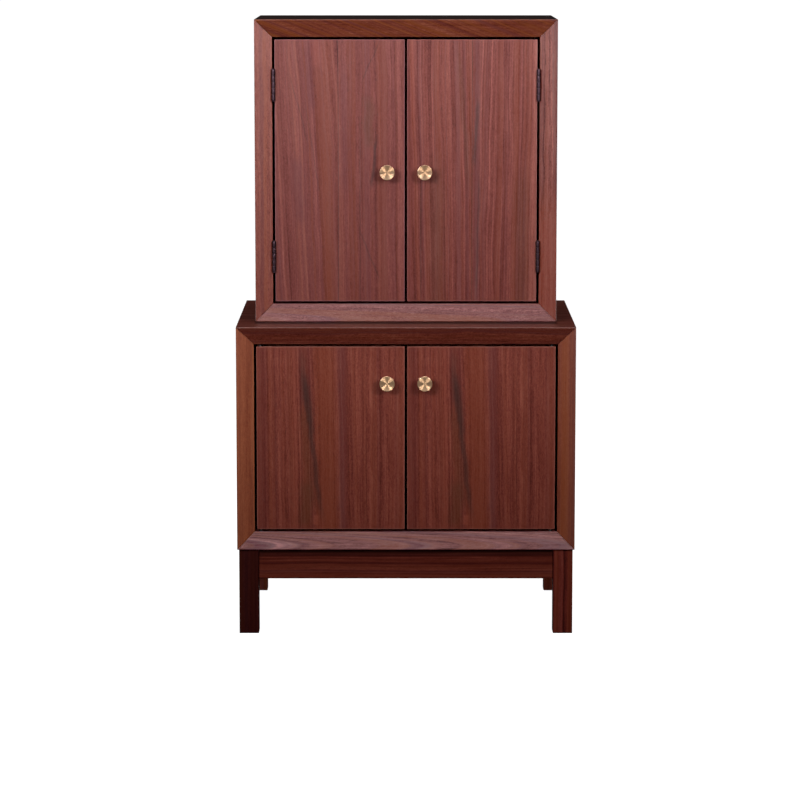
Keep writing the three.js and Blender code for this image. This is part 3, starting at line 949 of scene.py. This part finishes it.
# A short tube about Z: a profile of the bore and an outer wall with rounded rims, turned about the pin.
def knuckle(centre, length):
    shape = hingeShape
    outer, bore, ease, half = shape["barrel"], shape["bore"], shape["ease"], length / 2
    profile = np.vstack([
        [(bore, -half)],
        arc((outer - ease, ease - half), ease, -90, 0, 4),
        arc((outer - ease, half - ease), ease, 0, 90, 4),
        [(bore, half), (bore, -half)],
    ])
    return lathe(profile, centre, (0, 0, 1), shape["facets"])


# A slotted screw head: two half discs, each an arc of nearly half a turn repeated at three levels along
# x, the last one drawn in for the bevel. The slot is the gap between them.
def screwHead(centre, facing):
    shape = screwShape
    levels = [(shape["radius"], -shape["sunk"]), (shape["radius"], shape["proud"] * 0.4),
              (shape["radius"] - shape["bevel"], shape["proud"])]
    radii, rises = np.array(levels).T[:, :, None]
    shells = []
    for turn in (0, -math.pi):
        angles = np.linspace(shape["slot"], math.pi - shape["slot"], 15) + turn
        rings = np.zeros((len(levels), len(angles), 3))
        rings[..., 0] = facing * rises
        rings[..., 1] = radii * np.cos(angles)
        rings[..., 2] = radii * np.sin(angles)
        shells.append(shell((centre + rings).reshape(-1, 3), *cappedStack(len(levels), len(angles))))
    return shells


# One leaf of a hinge: its plate, its screws, and every second knuckle with the tongue that carries it.
def hingeLeaf(axis, side, parity):
    shape = hingeShape
    length, leaf = shape["length"], shape["leaf"]
    pitch = (length + shape["gap"]) / shape["knuckles"]
    tall = pitch - shape["gap"]
    near = axis[1] + shape["barrel"] + shape["plateGap"]
    face = axis[0] + side * shape["clearance"]
    left = face + (side - 1) / 2 * leaf
    plate = roundedBox((left, near, axis[2] - length / 2),
                       (left + leaf, near + shape["width"], axis[2] + length / 2), shape["leafArris"], 2)
    shells = [plate]
    for up, back in screwShape["places"]:
        shells += screwHead(np.array([face, near + back, axis[2] + up]), -side)
    for k in range(parity, shape["knuckles"], 2):
        z = axis[2] + (k - (shape["knuckles"] - 1) / 2) * pitch
        shells.append(knuckle((axis[0], axis[1], z), tall))
        shells.append(roundedBox((left, axis[1] + shape["tongueIn"], z - tall / 2),
                                 (left + leaf, near + shape["tongueLap"], z + tall / 2),
                                 shape["tongueArris"], 2))
    return [dict(part, normals=None, grain=None, uv=None) for part in shells]


for side, sign in (("left", -1), ("right", 1)):
    for level in ("lower", "upper"):
        hinge = f"case_{side}_{level}_hinge"
        low, high = (np.array(corner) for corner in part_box(hinge + "_pin"))
        axis = (low + high) / 2
        for leaf, body, leafSide, parity in (("frame_leaf", "carcass", sign, 0),
                                             ("door_leaf", f"case_{side}_door", -sign, 1)):
            addPiece(f"{hinge}_{leaf}_metal", hingeLeaf(axis, leafSide, parity), body,
                     [f"{hinge}_{leaf}"], bronze)

for name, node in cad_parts.items():
    if name.endswith("_pin") or name.endswith("_pivot"):
        node.data.materials.clear()
        node.data.materials.append(bronze if name.endswith("_pin") else steel)
print("stage: knobs and hinges built")

# Floor, light and camera

scene = bpy.context.scene

floorLook = {
    "reach": 60.0,
    "nearGlow": 0.96,
    "farGlow": 1.02,
    "glowFrom": 0.3,  # distance from the middle where the near glow starts to change to the far one
    "glowTo": 1.6,
    "grey": (0.3, 0.3, 0.3, 1),
}


# A pale floor that glows by itself, so it stays white in the picture and keeps soft contact shadows.
def makeFloor():
    look = floorLook
    reach = look["reach"]
    mesh = bpy.data.meshes.new("floor")
    mesh.from_pydata([(-reach, -reach, 0), (reach, -reach, 0), (reach, reach, 0), (-reach, reach, 0)],
                     [], [(0, 1, 2, 3)])
    material, build = newMaterial("pale_floor")
    fromMiddle = build.add("ShaderNodeVectorMath", operation="LENGTH")
    build.feed(fromMiddle.inputs[0], build.add("ShaderNodeTexCoord").outputs["Object"])
    glow = build.add("ShaderNodeEmission")
    glow.inputs["Color"].default_value = (1, 1, 1, 1)
    build.feed(glow.inputs["Strength"], build.spread(
        fromMiddle.outputs["Value"], look["glowFrom"], look["glowTo"], look["nearGlow"], look["farGlow"]))
    matte = build.add("ShaderNodeBsdfDiffuse")
    matte.inputs["Color"].default_value = look["grey"]
    both = build.add("ShaderNodeAddShader")
    build.feed(both.inputs[0], glow.outputs[0])
    build.feed(both.inputs[1], matte.outputs[0])
    build.finish(both)
    mesh.materials.append(material)
    floor = bpy.data.objects.new("floor", mesh)
    scene.collection.objects.link(floor)
    floor.visible_glossy = False
    floor.visible_diffuse = False
    return floor


floor = makeFloor()

studioLook = {
    "seen": (1, 1, 1, 1),  # what the camera sees behind the object
    "fill": (0.06, 0.06, 0.064, 1),  # what lights it from all round
    "mirroredFront": (0.03, 0.03, 0.031, 1),
    "mirroredBack": (0.006, 0.006, 0.006, 1),
}


# A world that is white to the camera and dim to everything else, dimmest in what glossy faces mirror
# from behind the object.
def makeWorld():
    look = studioLook
    world = bpy.data.worlds.new("studio")
    world.use_nodes = True
    world.node_tree.nodes.clear()
    build = Builder(world.node_tree)
    path = build.add("ShaderNodeLightPath")
    towards = build.split(build.add("ShaderNodeTexCoord").outputs["Generated"])[1]
    behind = build.spread(towards, -0.25, 0.15)
    mirrored = build.mix(behind, look["mirroredFront"], look["mirroredBack"])
    fill = build.mix(path.outputs["Is Glossy Ray"], look["fill"], mirrored)
    sky = build.add("ShaderNodeBackground")
    build.feed(sky.inputs["Color"], build.mix(path.outputs["Is Camera Ray"], fill, look["seen"]))
    build.finish(sky, "World")
    return world


scene.world = makeWorld()

# Place, what it aims at, (width, height), watts, and the angle in degrees that its light spreads over.
softboxes = {
    "softbox_left": ((-1.40, -2.80, 1.75), (0, -0.1, 1.28), (1.1, 1.1), 13.6, 50),
    "softbox_right": ((1.40, -2.80, 1.75), (0, -0.1, 1.28), (1.1, 1.1), 12.0, 50),
    "softbox_side_left": ((-2.70, 0.75, 0.45), (0, 0.10, 0.45), (0.9, 0.84), 6.0, 60),
    "softbox_side_right": ((2.70, 0.75, 0.45), (0, 0.10, 0.45), (0.9, 0.84), 6.0, 60),
    "softbox_back": ((0, 2.80, 0.235), (0, 0.15, 0.50), (0.42, 0.42), 8.5, 60),
    "softbox_above": ((0, -0.15, 2.50), (0, -0.15, 0), (1.2, 1.2), 14.0, 100),
}
for name, (place, aim, (width, height), watts, spread) in softboxes.items():
    data = bpy.data.lights.new(name, "AREA")
    data.shape = "RECTANGLE"
    data.size, data.size_y, data.energy = width, height, watts
    data.spread = math.radians(spread)
    light = bpy.data.objects.new(name, data)
    light.location = place
    light.rotation_euler = (Vector(aim) - Vector(place)).to_track_quat("-Z", "Y").to_euler()
    scene.collection.objects.link(light)
    light.visible_camera = False

# The photograph's camera, as fitted to the corners of the boards.
cameraShape = {
    "place": (-8.75 * mm, -5027.0 * mm, 1040.7 * mm),
    "down": 0.1411,  # radians
    "sensor": 36,
    "focalPixels": 3330,
    "framePixels": 800,
    "farthest": 200,
}
cameraData = bpy.data.cameras.new("camera")
cameraData.sensor_width = cameraShape["sensor"]
cameraData.lens = cameraShape["focalPixels"] / cameraShape["framePixels"] * cameraShape["sensor"]
cameraData.clip_end = cameraShape["farthest"]
camera = bpy.data.objects.new("camera", cameraData)
camera.location = cameraShape["place"]
camera.rotation_euler = (math.pi / 2 - cameraShape["down"], 0, 0)
scene.collection.objects.link(camera)
scene.camera = camera

scene.view_settings.view_transform = "Standard"
scene.view_settings.look = "None"
scene.cycles.use_denoising = True
scene.cycles.max_bounces = 6
print("stage: floor, light and camera set")
